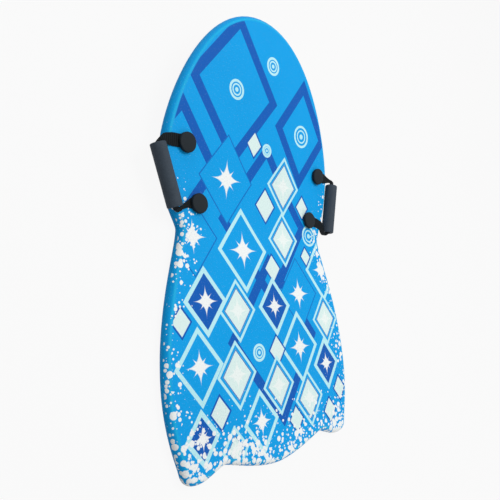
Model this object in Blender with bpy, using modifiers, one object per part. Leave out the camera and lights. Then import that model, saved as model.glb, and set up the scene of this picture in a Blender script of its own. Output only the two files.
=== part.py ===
"""Foam snow sled: a slick-bottomed foam board with a kicked nose, a scalloped tail and two side handles.

Metres, +Z up, nose toward +Y. The sled lies on the flat rear half of its slick, centred on the origin.
"Across" is the distance from the centre line, "along" the distance from the tail measured on the deck,
and "height" the distance above the deck's surface, square to it.
"""
import math

import bmesh
import bpy
from mathutils import Matrix, Vector

# Board
BOARD_THICK = 0.026        # full thickness; the rail is a half round of this height
SKIN_THICK = 0.0012        # printed film round the deck and the rails
SLICK_THICK = 0.0012       # hard sheet under the board
LIP_WIDTH = 0.001          # flat lip of the film round the slick's edge
GAP = 0.0003               # between pieces that touch
CUT_MARGIN = 0.004         # cutters run this far past the board's faces
NOSE_ANGLE = math.radians(11.7)
BEND_START = 0.430         # along, where the nose begins to lift
BEND_END = 0.600           # along, where it has reached NOSE_ANGLE
BEND_STEPS = 12

# The line where the flat deck meets the rounded rail: its knots on the right half, tail to nose,
# with the lengths of the curve's handles before and after each
TAIL_LOBE_ALONG = 0.012
TAIL_LOBE_HANDLE = 0.055
NOTCH_ACROSS = 0.1415
NOTCH_ALONG = 0.0415
NOTCH_HANDLES = (0.011, 0.0185)
SIDE_LOBE_ACROSS = 0.2045
SIDE_LOBE_ALONG = 0.0255
SIDE_LOBE_HANDLES = (0.020, 0.024)
CORNER_ACROSS = 0.230
CORNER_ALONG = 0.051
CORNER_HEADING = 71.0      # degrees from straight across
CORNER_HANDLES = (0.020, 0.042)
HIP_ACROSS = 0.2515
HIP_ALONG = 0.177
HIP_HANDLES = (0.042, 0.136)
WAIST_ACROSS = 0.1975
WAIST_ALONG = 0.4545
WAIST_HANDLES = (0.033, 0.020)
SHOULDER_ACROSS = 0.236
SHOULDER_ALONG = 0.5945
SHOULDER_HANDLES = (0.083, 0.0765)
NOSE_ALONG = 0.903
NOSE_HANDLE = 0.160
EDGE_STEPS = 8             # straight pieces between two knots of the line
RAIL_STEPS = 3             # rounding steps of the rail's outside
INNER_RAIL_STEPS = 2       # and of the foam under the film

# Anchors: a cap with a boss through the board, a dished washer below and a screw up into the boss
FRONT_CAP = (0.2015, 0.612)    # across, along
REAR_CAP = (0.1695, 0.5025)
CAP_RADIUS = 0.019
CAP_HEIGHT = 0.0074
CAP_DOME = 0.0012
CAP_EDGE_RADIUS = 0.0022
BOSS_RADIUS = 0.006
SCREW_RADIUS = 0.0025
SCREW_LENGTH = 0.015       # in the boss
SCREW_POINT = 0.001
SCREW_HEAD_RADIUS = 0.0048
SCREW_HEAD_HEIGHT = 0.0025
WASHER_RADIUS = 0.015
WASHER_THICK = 0.0035
WASHER_BEVEL = 0.0008
RECESS_DEPTH = 0.0005      # washer face behind the slick's face, so that it doesn't drag

# Handles
WEB_WIDTH = 0.025
WEB_THICK = 0.002
WEB_LIFT = 0.0004          # underside of the webbing over the deck
TAB_LENGTH = 0.013         # clamped webbing behind the anchor's centre
CORE_WIDTH = 0.013         # webbing folded together inside the grip
CORE_THICK = 0.0045
HINGE_OFFSET = 0.0230      # fold line of the webbing, outboard of the line through the cap centres
FOLD_CLEAR_IN = 0.0032     # clamped end to fold line
FOLD_CLEAR_OUT = 0.0018    # fold line to swinging webbing
FRONT_TUCK = 0.0045        # narrowing of the webbing's rear edge between the fold and the front corner
CORNER_INNER = 0.0015
CORNER_STEPS = 6
# Corners at the foam tube's ends: across, along, height. The two handles don't hang quite alike
LEFT_GRIP_FRONT = (0.266, 0.599, 0.004)
LEFT_GRIP_REAR = (0.2306, 0.487, 0.011)
RIGHT_GRIP_FRONT = (0.2655, 0.600, 0.001)
RIGHT_GRIP_REAR = (0.2455, 0.478, 0.002)
GRIP_RADIUS = 0.01425
GRIP_CLEAR = 0.0004        # webbing's corners to the bore
GRIP_END_ROUND = 0.002
GRIP_END_CLEAR = 0.0010    # foam tube's end to the webbing's corner

ROUND_STEPS = 32
SMALL_STEPS = 20

AZURE = (0.016, 0.352, 0.800, 1.0)
PALE_BLUE = (0.30, 0.62, 0.86, 1.0)
SLICK_BLUE = (0.02, 0.22, 0.60, 1.0)
CAP_BLACK = (0.016, 0.017, 0.019, 1.0)
WEB_BLACK = (0.010, 0.010, 0.012, 1.0)
GRIP_GREY = (0.030, 0.036, 0.045, 1.0)
SCREW_STEEL = (0.62, 0.62, 0.64, 1.0)

RAIL = BOARD_THICK / 2
BEND_RADIUS = (BEND_END - BEND_START) / NOSE_ANGLE


def clear_scene():
    for obj in list(bpy.data.objects):
        bpy.data.objects.remove(obj, do_unlink=True)


def new_collection(name):
    collection = bpy.data.collections.new(name)
    bpy.context.scene.collection.children.link(collection)
    return collection


def material(name, colour, roughness, metallic=0.0):
    mat = bpy.data.materials.new(name)
    mat.use_nodes = True
    shader = mat.node_tree.nodes["Principled BSDF"]
    shader.inputs["Base Color"].default_value = colour
    shader.inputs["Roughness"].default_value = roughness
    shader.inputs["Metallic"].default_value = metallic
    mat.diffuse_color = colour
    return mat


def board_section(along, height):
    """Side view of the bent board: length from the tail, height over the ground and slope."""
    slope = max(0.0, min(along, BEND_END) - BEND_START) / BEND_RADIUS
    ahead = along - BEND_START if along < BEND_START else max(along - BEND_END, 0.0)
    length = BEND_START + BEND_RADIUS * math.sin(slope) + ahead * math.cos(slope)
    lift = BEND_RADIUS * (1 - math.cos(slope)) + ahead * math.sin(slope)
    return length - height * math.sin(slope), BOARD_THICK + lift + height * math.cos(slope), slope


# Both ends are half rounds of RAIL, so the middle between their centres is the middle of the board
LENGTH_MIDDLE = (board_section(NOSE_ALONG, -RAIL)[0] + TAIL_LOBE_ALONG) / 2


def board_point(across, along, height):
    """A point of the bent board; height 0 is the deck's surface."""
    length, lift, _ = board_section(along, height)
    return Vector((across, length - LENGTH_MIDDLE, lift))


def board_frame(across, along):
    """Placement on the deck whose Z is square to it there and whose X runs across the board."""
    place = Matrix.Rotation(board_section(along, 0.0)[2], 4, "X")
    place.translation = board_point(across, along, 0.0)
    return place


def edge_knots():
    """Knots of the deck's edge: across, along, heading in degrees, handle before, handle after."""
    return [
        (0.0, TAIL_LOBE_ALONG, 0.0, TAIL_LOBE_HANDLE, TAIL_LOBE_HANDLE),
        (NOTCH_ACROSS, NOTCH_ALONG, 0.0, *NOTCH_HANDLES),
        (SIDE_LOBE_ACROSS, SIDE_LOBE_ALONG, 0.0, *SIDE_LOBE_HANDLES),
        (CORNER_ACROSS, CORNER_ALONG, CORNER_HEADING, *CORNER_HANDLES),
        (HIP_ACROSS, HIP_ALONG, 90.0, *HIP_HANDLES),
        (WAIST_ACROSS, WAIST_ALONG, 90.0, *WAIST_HANDLES),
        (SHOULDER_ACROSS, SHOULDER_ALONG, 90.0, *SHOULDER_HANDLES),
        (0.0, NOSE_ALONG, 180.0, NOSE_HANDLE, NOSE_HANDLE),
    ]


def mesh_from_curve(curve_obj, name, collection):
    """Replace a filled curve by a welded mesh object with one face on each flat side."""
    bpy.context.view_layer.update()
    depsgraph = bpy.context.evaluated_depsgraph_get()
    mesh = bpy.data.meshes.new_from_object(curve_obj.evaluated_get(depsgraph))
    mesh.name = name
    obj = bpy.data.objects.new(name, mesh)
    obj.matrix_world = curve_obj.matrix_world.copy()
    collection.objects.link(obj)
    bpy.data.objects.remove(curve_obj, do_unlink=True)
    bm = bmesh.new()
    bm.from_mesh(mesh)
    bmesh.ops.remove_doubles(bm, verts=bm.verts, dist=0.00001)
    high = max(v.co.z for v in bm.verts)
    caps = [f for f in bm.faces if all(v.co.z > high - 0.000001 for v in f.verts)
            or all(v.co.z < 0.000001 - high for v in f.verts)]
    bmesh.ops.delete(bm, geom=caps, context="FACES")
    rims = [e for e in bm.edges if e.is_boundary]
    bmesh.ops.holes_fill(bm, edges=rims, sides=0)
    bmesh.ops.recalc_face_normals(bm, faces=bm.faces)
    bm.to_mesh(mesh)
    bm.free()
    return obj


def board_slab(name, collection, middle, half_flat, round_radius, steps=0, offset=0.0):
    """Unbent slab on the deck's edge line: flat part 2*half_flat high, round edge of round_radius."""
    curve = bpy.data.curves.new(name + "_line", "CURVE")
    curve.dimensions = "2D"
    curve.fill_mode = "BOTH"
    curve.resolution_u = EDGE_STEPS
    curve.extrude = half_flat
    curve.bevel_depth = round_radius
    curve.bevel_resolution = steps
    curve.offset = offset
    right = edge_knots()
    left = [(-x, y, -a, after, before) for x, y, a, before, after in right[-2:0:-1]]
    knots = right + left
    spline = curve.splines.new("BEZIER")
    spline.bezier_points.add(len(knots) - 1)
    spline.use_cyclic_u = True
    for point, (x, y, heading, before, after) in zip(spline.bezier_points, knots):
        direction = Vector((math.cos(math.radians(heading)), math.sin(math.radians(heading)), 0.0))
        point.handle_left_type = point.handle_right_type = "FREE"
        point.co = (x, y, 0.0)
        point.handle_left = point.co - direction * before
        point.handle_right = point.co + direction * after
    curve_obj = bpy.data.objects.new(name + "_line", curve)
    collection.objects.link(curve_obj)
    curve_obj.location.z = middle
    return mesh_from_curve(curve_obj, name, collection)


def apply_modifiers(obj):
    bpy.context.view_layer.update()
    depsgraph = bpy.context.evaluated_depsgraph_get()
    mesh = bpy.data.meshes.new_from_object(obj.evaluated_get(depsgraph))
    obj.modifiers.clear()
    obj.data = mesh


def cut(obj, cutter):
    boolean = obj.modifiers.new("cut_" + cutter.name, "BOOLEAN")
    boolean.operation = "DIFFERENCE"
    boolean.object = cutter
    cutter.hide_render = True
    cutter.display_type = "WIRE"


def bend(obj):
    """Cut the slab across at each bend step, then lift the nose. Slab heights run from 0 to BOARD_THICK."""
    place = obj.matrix_world.copy()
    bm = bmesh.new()
    bm.from_mesh(obj.data)
    bmesh.ops.transform(bm, matrix=place, verts=bm.verts)
    for step in range(BEND_STEPS + 1):
        along = BEND_START + (BEND_END - BEND_START) * step / BEND_STEPS
        bmesh.ops.bisect_plane(bm, geom=bm.verts[:] + bm.edges[:] + bm.faces[:], dist=0.000001,
                               plane_co=(0.0, along, 0.0), plane_no=(0.0, 1.0, 0.0))
    for vert in bm.verts:
        vert.co = board_point(vert.co.x, vert.co.y, vert.co.z - BOARD_THICK)
    bm.to_mesh(obj.data)
    bm.free()
    obj.matrix_world = Matrix.Identity(4)


def turned(name, collection, profile, place, steps):
    """Solid of revolution; the profile is a ring, or runs from the axis back to it, outer side first."""
    ring = profile[0] == profile[-1]
    points = profile[:-1] if ring else profile
    edges = [(i, (i + 1) % len(points)) for i in range(len(profile) - 1)]
    mesh = bpy.data.meshes.new(name)
    mesh.from_pydata([(r, 0.0, z) for r, z in points], edges, [])
    obj = bpy.data.objects.new(name, mesh)
    collection.objects.link(obj)
    obj.matrix_world = place
    screw = obj.modifiers.new("turn", "SCREW")
    screw.steps = screw.render_steps = steps
    screw.use_merge_vertices = True
    screw.merge_threshold = 0.00001
    apply_modifiers(obj)
    return obj


def arc(centre, radius, start, end, steps):
    """Points of an arc in a profile's plane; angles in degrees from the outward direction."""
    points = []
    for i in range(steps + 1):
        a = math.radians(start + (end - start) * i / steps)
        points.append((centre[0] + radius * math.cos(a), centre[1] + radius * math.sin(a)))
    return points


def shade(obj, mat):
    obj.data.materials.clear()
    obj.data.materials.append(mat)
    obj.data.shade_smooth()
    obj.data.set_sharp_from_angle(angle=math.radians(35))


def bore_profile():
    """Cutter for one anchor: clearance for the boss through webbing and board, wider below for the washer."""
    step = -BOARD_THICK + RECESS_DEPTH + WASHER_THICK + GAP
    low = -BOARD_THICK - CUT_MARGIN
    hole, recess = BOSS_RADIUS + GAP, WASHER_RADIUS + GAP
    return [(0.0, CUT_MARGIN), (hole, CUT_MARGIN), (hole, step), (recess, step), (recess, low), (0.0, low)]


def cap_profile():
    """Domed cap over the webbing, its boss down through the board and the screw's blind hole."""
    base = WEB_LIFT + WEB_THICK + GAP
    crown = base + CAP_HEIGHT
    boss_end = -BOARD_THICK + RECESS_DEPTH + WASHER_THICK + GAP
    hole = SCREW_RADIUS + GAP
    hole_top = boss_end + SCREW_LENGTH
    # dome of a sphere, tangent to the rounded edge
    sphere = (CAP_RADIUS ** 2 + CAP_DOME ** 2) / (2 * CAP_DOME)
    edge_across = CAP_RADIUS - CAP_EDGE_RADIUS
    slope = math.asin(edge_across / (sphere - CAP_EDGE_RADIUS))
    edge_centre = (edge_across, crown - sphere + (sphere - CAP_EDGE_RADIUS) * math.cos(slope))
    meet = 90 - math.degrees(slope)
    dome = arc((0.0, crown - sphere), sphere, 90, meet, 2)
    return (dome + arc(edge_centre, CAP_EDGE_RADIUS, meet, 0, 3)[1:]
            + [(CAP_RADIUS, base), (BOSS_RADIUS, base), (BOSS_RADIUS, boss_end), (hole, boss_end),
               (hole, hole_top), (0.0, hole_top)])


def washer_profile():
    """Disc under the board with a countersunk hole; closed ring, outer side first."""
    low = -BOARD_THICK + RECESS_DEPTH
    high = low + WASHER_THICK
    hole = SCREW_RADIUS + GAP
    seat = SCREW_HEAD_RADIUS + GAP
    return [(hole, high), (WASHER_RADIUS, high), (WASHER_RADIUS, low + WASHER_BEVEL),
            (WASHER_RADIUS - WASHER_BEVEL, low), (seat, low), (hole, low + SCREW_HEAD_HEIGHT), (hole, high)]


def screw_profile():
    """Countersunk screw, head flush with the washer's underside, seen from its point down."""
    low = -BOARD_THICK + RECESS_DEPTH + GAP
    neck = low + SCREW_HEAD_HEIGHT
    tip = low + WASHER_THICK + SCREW_LENGTH - GAP
    return [(0.0, tip), (SCREW_RADIUS - SCREW_POINT, tip), (SCREW_RADIUS, tip - SCREW_POINT),
            (SCREW_RADIUS, neck), (SCREW_HEAD_RADIUS, low), (0.0, low)]


def rotate2(v, angle):
    c, s = math.cos(angle), math.sin(angle)
    return Vector((c * v.x - s * v.y, s * v.x + c * v.y))


def left_of(v):
    return Vector((-v.y, v.x))


def handle_plan(grip_front, grip_rear):
    """Plan of a handle, across and along: fold line, directions, corner centres and grip ends."""
    front, rear = Vector(FRONT_CAP), Vector(REAR_CAP)
    fold_dir = (front - rear).normalized()
    outward = Vector((fold_dir.y, -fold_dir.x))
    tube_front, tube_rear = Vector(grip_front[:2]), Vector(grip_rear[:2])
    tube_dir = (tube_rear - tube_front).normalized()
    reach = CORNER_INNER + CORE_WIDTH / 2
    inward = -left_of(tube_dir) * reach
    # front corner: centred so that the webbing's front edge runs straight out from the cap
    front_dir = Vector((1.0, 0.0))
    beside = tube_front + inward
    corner_along = front.y - WEB_WIDTH / 2 + FRONT_TUCK - CORNER_INNER
    front_centre = beside + tube_dir * ((corner_along - beside.y) / tube_dir.y)
    # rear corner: from the tube's direction back toward the rear cap's centre
    rear_centre = tube_rear + inward
    toward = rear - rear_centre
    rear_dir = rotate2(toward.normalized(), -math.asin(reach / toward.length))
    return {"fold_front": front + outward * HINGE_OFFSET, "fold_rear": rear + outward * HINGE_OFFSET,
            "outward": outward, "tube_dir": tube_dir, "front_dir": front_dir, "rear_dir": rear_dir,
            "front_centre": front_centre, "rear_centre": rear_centre, "reach": reach,
            "front_height": grip_front[2], "rear_height": grip_rear[2],
            "grip_front": front_centre - inward + tube_dir * GRIP_END_CLEAR,
            "grip_rear": rear_centre - inward - tube_dir * GRIP_END_CLEAR}


def meet_fold(start, direction, plan, clear):
    """Point where a line from start meets the line parallel to the fold, clear outboard of it."""
    base = plan["fold_front"] + plan["outward"] * clear
    t = (base - start).dot(plan["outward"]) / direction.dot(plan["outward"])
    return start + direction * t


def corner_sections(centre, start, turn, height, widths, thicks):
    """Webbing folded flat round a corner: sections about its centre, with a straight outer edge."""
    first_outer = centre + start * (CORNER_INNER + widths[0])
    last_outer = centre + rotate2(start, -turn) * (CORNER_INNER + widths[1])
    sections = []
    for i in range(CORNER_STEPS + 1):
        part = i / CORNER_STEPS
        inner = centre + rotate2(start, -turn * part) * CORNER_INNER
        outer = first_outer.lerp(last_outer, part)
        sections.append((board_point(*inner, height), board_point(*outer, height),
                         thicks[0] + (thicks[1] - thicks[0]) * part))
    return sections


def fold_section(inner, outer, direction, plan):
    """Webbing cut parallel to the fold line, just outboard of it and flat on the deck."""
    height = WEB_LIFT + WEB_THICK / 2
    inner, outer = (board_point(*meet_fold(edge, direction, plan, FOLD_CLEAR_OUT), height)
                    for edge in (inner, outer))
    return inner, outer, WEB_THICK


def strap_stations(plan):
    """Sections of the swinging webbing from the front fold to the rear: inner edge, outer edge, thickness."""
    n_front, n_tube, n_rear = (left_of(plan[key]) for key in ("front_dir", "tube_dir", "rear_dir"))
    inner_edge = plan["front_centre"] + n_front * (CORNER_INNER - FRONT_TUCK)
    stations = [fold_section(inner_edge, inner_edge + n_front * WEB_WIDTH, plan["front_dir"], plan)]
    # wide and thin over the deck, narrowed and doubled inside the tube
    stations += corner_sections(plan["front_centre"], n_front, abs(n_front.angle_signed(n_tube)),
                                plan["front_height"], (WEB_WIDTH - FRONT_TUCK, CORE_WIDTH),
                                (WEB_THICK, CORE_THICK))
    stations += corner_sections(plan["rear_centre"], n_tube, abs(n_tube.angle_signed(n_rear)),
                                plan["rear_height"], (CORE_WIDTH, CORE_WIDTH), (CORE_THICK, WEB_THICK))
    middle = plan["rear_centre"] + n_rear * plan["reach"]
    half = n_rear * (WEB_WIDTH / 2)
    stations.append(fold_section(middle - half, middle + half, plan["rear_dir"], plan))
    return stations


def strap_mesh(name, side, pivot, plan):
    """Loft of the webbing's flat sections, relative to the pivot."""
    stations = strap_stations(plan)
    middles = [(a + b) / 2 for a, b, _ in stations]
    rings = []
    for i, (a, b, thick) in enumerate(stations):
        ahead = middles[min(i + 1, len(middles) - 1)] - middles[max(i - 1, 0)]
        normal = ahead.cross(b - a).normalized() * (thick / 2)
        rings.append([a - normal, b - normal, b + normal, a + normal])
    bm = bmesh.new()
    verts = [[bm.verts.new((side * p.x - pivot.x, p.y - pivot.y, p.z - pivot.z)) for p in ring]
             for ring in rings]
    for first, second in zip(verts, verts[1:]):
        for k in range(4):
            bm.faces.new((first[k], first[(k + 1) % 4], second[(k + 1) % 4], second[k]))
    bm.faces.new(verts[0])
    bm.faces.new(verts[-1])
    bmesh.ops.recalc_face_normals(bm, faces=bm.faces)
    mesh = bpy.data.meshes.new(name)
    bm.to_mesh(mesh)
    bm.free()
    return mesh


def clamped_end(name, place, direction, plan, cap):
    """Webbing end under a cap: plain strip with the boss's hole, cut parallel to the fold line."""
    side = math.copysign(1.0, place.translation.x)
    centre = Vector(cap)
    half = left_of(direction) * (WEB_WIDTH / 2)
    back = centre - direction * TAB_LENGTH
    corners = [back - half, meet_fold(centre - half, direction, plan, -FOLD_CLEAR_IN),
               meet_fold(centre + half, direction, plan, -FOLD_CLEAR_IN), back + half]
    bm = bmesh.new()
    face = bm.faces.new([bm.verts.new((side * (corner.x - centre.x), corner.y - centre.y, WEB_LIFT))
                         for corner in corners])
    grown = bmesh.ops.extrude_face_region(bm, geom=[face])
    bmesh.ops.translate(bm, vec=(0.0, 0.0, WEB_THICK),
                        verts=[v for v in grown["geom"] if isinstance(v, bmesh.types.BMVert)])
    bmesh.ops.recalc_face_normals(bm, faces=bm.faces)
    mesh = bpy.data.meshes.new(name)
    bm.to_mesh(mesh)
    bm.free()
    obj = bpy.data.objects.new(name, mesh)
    parts.objects.link(obj)
    obj.matrix_world = place
    return obj


def grip_profile(half_length):
    """Foam tube with rounded ends; closed ring, outer side first."""
    outer, r = GRIP_RADIUS, GRIP_END_ROUND
    bore = (math.hypot(CORE_WIDTH, CORE_THICK) / 2 + GRIP_CLEAR) / math.cos(math.pi / SMALL_STEPS)
    top = arc((outer - r, half_length - r), r, 90, 0, 3)
    bottom = arc((outer - r, -half_length + r), r, 0, -90, 3)
    return [(bore, half_length)] + top + bottom + [(bore, -half_length), (bore, half_length)]


clear_scene()
parts = new_collection("foam_sled")
cutters = new_collection("cutters")

film = material("printed_film", AZURE, 0.42)
foam = material("foam_core", PALE_BLUE, 0.85)
slick = material("slick_sheet", SLICK_BLUE, 0.30)
plastic = material("cap_plastic", CAP_BLACK, 0.45)
webbing = material("webbing", WEB_BLACK, 0.85)
grip_foam = material("grip_foam", GRIP_GREY, 0.80)
steel = material("screw_steel", SCREW_STEEL, 0.35, 1.0)

# Board: concentric slabs on one edge line, bent together
skin = board_slab("top_skin", parts, RAIL, 0.0, RAIL, RAIL_STEPS)
hollow = board_slab("skin_hollow", cutters, RAIL, 0.0, RAIL - SKIN_THICK, INNER_RAIL_STEPS)
opening_low, opening_high = -CUT_MARGIN, SLICK_THICK + 2 * GAP
opening = board_slab("slick_opening", cutters, (opening_low + opening_high) / 2,
                     (opening_high - opening_low) / 2, 0.0, offset=-LIP_WIDTH)
cut(skin, hollow)
cut(skin, opening)
apply_modifiers(skin)
core = board_slab("foam_core", parts, RAIL, 0.0, RAIL - SKIN_THICK - GAP, INNER_RAIL_STEPS)
sheet = board_slab("bottom_slick", parts, SLICK_THICK / 2, SLICK_THICK / 2, 0.0, offset=-LIP_WIDTH - GAP)
for layer, mat in ((skin, film), (core, foam), (sheet, slick)):
    bend(layer)

# Anchors and clamped webbing ends
handles = (("left", -1.0, handle_plan(LEFT_GRIP_FRONT, LEFT_GRIP_REAR)),
           ("right", 1.0, handle_plan(RIGHT_GRIP_FRONT, RIGHT_GRIP_REAR)))
for side_name, side, plan in handles:
    anchors = {"front": (FRONT_CAP, plan["front_dir"]), "rear": (REAR_CAP, -plan["rear_dir"])}
    for end_name, (cap, direction) in anchors.items():
        name = side_name + "_" + end_name
        place = board_frame(*cap)
        place.translation.x *= side
        shade(turned(name + "_cap", parts, cap_profile(), place, ROUND_STEPS), plastic)
        shade(turned(name + "_washer", parts, washer_profile(), place, SMALL_STEPS), plastic)
        shade(turned(name + "_screw", parts, screw_profile(), place, SMALL_STEPS), steel)
        strap_end = clamped_end(name + "_strap_end", place, direction, plan, cap)
        bore = turned(name + "_bore", cutters, bore_profile(), place, SMALL_STEPS)
        for layer in (strap_end, skin, core, sheet):
            cut(layer, bore)
        apply_modifiers(strap_end)
        shade(strap_end, webbing)
for layer, mat in ((skin, film), (core, foam), (sheet, slick)):
    apply_modifiers(layer)
    shade(layer, mat)

# Swinging handles
for side_name, side, plan in handles:
    fold_height = WEB_LIFT + WEB_THICK / 2
    fold_a = board_point(*plan["fold_rear"], fold_height)
    fold_b = board_point(*plan["fold_front"], fold_height)
    pivot = (fold_a + fold_b) / 2
    pivot.x *= side
    strap = bpy.data.objects.new(side_name + "_strap", strap_mesh(side_name + "_strap", side, pivot, plan))
    parts.objects.link(strap)
    strap.location = pivot
    shade(strap, webbing)

    front = board_point(*plan["grip_front"], plan["front_height"])
    rear = board_point(*plan["grip_rear"], plan["rear_height"])
    front.x *= side
    rear.x *= side
    place = (front - rear).to_track_quat("Z", "Y").to_matrix().to_4x4()
    place.translation = (front + rear) / 2
    grip = turned(side_name + "_grip", parts, grip_profile((front - rear).length / 2), place, SMALL_STEPS)
    shade(grip, grip_foam)
    bpy.context.view_layer.update()
    grip.parent = strap
    grip.matrix_parent_inverse = strap.matrix_world.inverted()
    print(side_name, "fold line", [round(v, 5) for v in (fold_a.x * side, *fold_a.yz)],
          [round(v, 5) for v in (fold_b.x * side, *fold_b.yz)],
          "grip axis", [round(v, 5) for v in rear], [round(v, 5) for v in front])
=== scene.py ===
import math

import bmesh
import bpy
import numpy as np
from mathutils import Matrix, Vector


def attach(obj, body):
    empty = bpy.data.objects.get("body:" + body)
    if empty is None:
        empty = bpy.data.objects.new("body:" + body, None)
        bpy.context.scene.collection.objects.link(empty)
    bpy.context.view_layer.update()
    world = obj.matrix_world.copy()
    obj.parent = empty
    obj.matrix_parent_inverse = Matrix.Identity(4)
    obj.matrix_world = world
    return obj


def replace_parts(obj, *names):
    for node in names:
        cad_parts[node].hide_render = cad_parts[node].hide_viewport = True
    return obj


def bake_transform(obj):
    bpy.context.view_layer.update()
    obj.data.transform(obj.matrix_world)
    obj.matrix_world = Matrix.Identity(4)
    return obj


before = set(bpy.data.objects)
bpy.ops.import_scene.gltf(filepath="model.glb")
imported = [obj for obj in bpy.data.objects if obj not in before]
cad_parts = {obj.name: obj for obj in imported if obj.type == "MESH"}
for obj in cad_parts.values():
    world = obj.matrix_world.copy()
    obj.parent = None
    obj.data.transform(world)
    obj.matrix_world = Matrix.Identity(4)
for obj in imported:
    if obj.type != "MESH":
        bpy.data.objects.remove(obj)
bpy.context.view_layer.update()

# metres; places on the deck are "across" from the centre line, "along" from the tail, "height" square to it
board = {
    "thick": 0.026, "rail": 0.013,  # thickness, radius of the half-round edge
    "bendStart": 0.430, "bendEnd": 0.600, "noseDegrees": 11.7,
    "edgeSteps": 28, "railSteps": 20, "deckRings": 12,  # from knot to knot, round the rail, over the deck
    "spineLow": 0.13, "spineHigh": 0.80,  # stretch of the centre line on which the deck's rings close
    "lip": 0.001, "slickThick": 0.0012,
    # knots of the deck's edge, tail to nose: across, along, heading, handle before, handle after
    "knots": [
        (0.0, 0.012, 0.0, 0.055, 0.055),
        (0.1415, 0.0415, 0.0, 0.011, 0.0185),
        (0.2045, 0.0255, 0.0, 0.020, 0.024),
        (0.230, 0.051, 71.0, 0.020, 0.042),
        (0.2515, 0.177, 90.0, 0.042, 0.136),
        (0.1975, 0.4545, 90.0, 0.033, 0.020),
        (0.236, 0.5945, 90.0, 0.083, 0.0765),
        (0.0, 0.903, 180.0, 0.160, 0.160),
    ],
}
anchors = {"front": (0.2015, 0.612), "rear": (0.1695, 0.5025)}  # caps on each side: across, along
sides = {"left": -1.0, "right": 1.0}  # sign of "across"


# side view of the bent board: flat, then an arc, then straight again at the nose's slope
def boardPoint(across, along, height):
    start, end = board["bendStart"], board["bendEnd"]
    radius = (end - start) / math.radians(board["noseDegrees"])
    slope = (np.clip(along, start, end) - start) / radius
    straight = np.where(along < start, along - start, np.maximum(along - end, 0.0))
    y = start + radius * np.sin(slope) + straight * np.cos(slope) - height * np.sin(slope)
    z = radius * (1 - np.cos(slope)) + straight * np.sin(slope) + height * np.cos(slope) + board["thick"]
    return np.stack(np.broadcast_arrays(across, y, z), -1)


tailAlong, noseAlong = board["knots"][0][1], board["knots"][-1][1]
lengthMiddle = (boardPoint(0.0, noseAlong, -board["rail"])[1] + tailAlong) / 2


# the same point with the middle of the sled's length over the origin
def onBoard(across, along, height):
    return boardPoint(across, along, height) - np.array([0.0, lengthMiddle, 0.0])


# closed edge line and its outward normals: cubic Bezier (1-t)^3 a + 3(1-t)^2 t b + 3(1-t)t^2 c + t^3 d
def edgeLine():
    right = np.array(board["knots"])
    left = right[-2:0:-1] * np.array([-1, 1, -1, 1, 1])
    left[:, [3, 4]] = left[:, [4, 3]]
    knots = np.concatenate([right, left])
    heading = np.radians(knots[:, 2])
    way = np.stack([np.cos(heading), np.sin(heading)], -1)
    a = knots[:, :2]
    b = a + way * knots[:, 4:5]
    d = np.roll(a, -1, 0)
    c = d - np.roll(way * knots[:, 3:4], -1, 0)
    t = (np.arange(board["edgeSteps"]) / board["edgeSteps"])[None, :, None]
    a, b, c, d = (p[:, None, :] for p in (a, b, c, d))
    points = (1 - t) ** 3 * a + 3 * (1 - t) ** 2 * t * b + 3 * (1 - t) * t ** 2 * c + t ** 3 * d
    tangent = (1 - t) ** 2 * (b - a) + 2 * (1 - t) * t * (c - b) + t ** 2 * (d - c)
    tangent /= np.linalg.norm(tangent, axis=-1, keepdims=True)
    normal = np.stack([tangent[..., 1], -tangent[..., 0]], -1)
    return points.reshape(-1, 2), normal.reshape(-1, 2)


# mesh of a rows x columns grid of points; columns close on themselves, rows only if asked
def gridMesh(name, points, closeRows=False, capEnds=False, flip=False, attributes=None):
    rows, columns = points.shape[:2]
    index = np.arange(rows * columns).reshape(rows, columns)
    lower = index if closeRows else index[:-1]
    upper = np.roll(index, -1, 0) if closeRows else index[1:]
    quads = np.stack([lower, np.roll(lower, -1, 1), np.roll(upper, -1, 1), upper], -1).reshape(-1, 4)
    faces = (quads[:, ::-1] if flip else quads).tolist()
    if capEnds:
        first, last = (index[0], index[-1][::-1]) if flip else (index[0][::-1], index[-1])
        faces += [first.tolist(), last.tolist()]
    mesh = bpy.data.meshes.new(name)
    mesh.from_pydata(points.reshape(-1, 3).tolist(), [], faces)
    for key, values in (attributes or {}).items():
        layer = mesh.attributes.new(key, "FLOAT_VECTOR", "POINT")
        layer.data.foreach_set("vector", np.ascontiguousarray(values, np.float32).ravel())
    mesh.shade_smooth()
    mesh.update()
    return addObject(name, mesh)


def addObject(name, data):
    obj = bpy.data.objects.new(name, data)
    bpy.context.scene.collection.objects.link(obj)
    return obj


# a colour written with three numbers gets its alpha; numbers and wires pass unchanged
def withAlpha(value):
    return (*value, 1.0) if isinstance(value, tuple) else value


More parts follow.
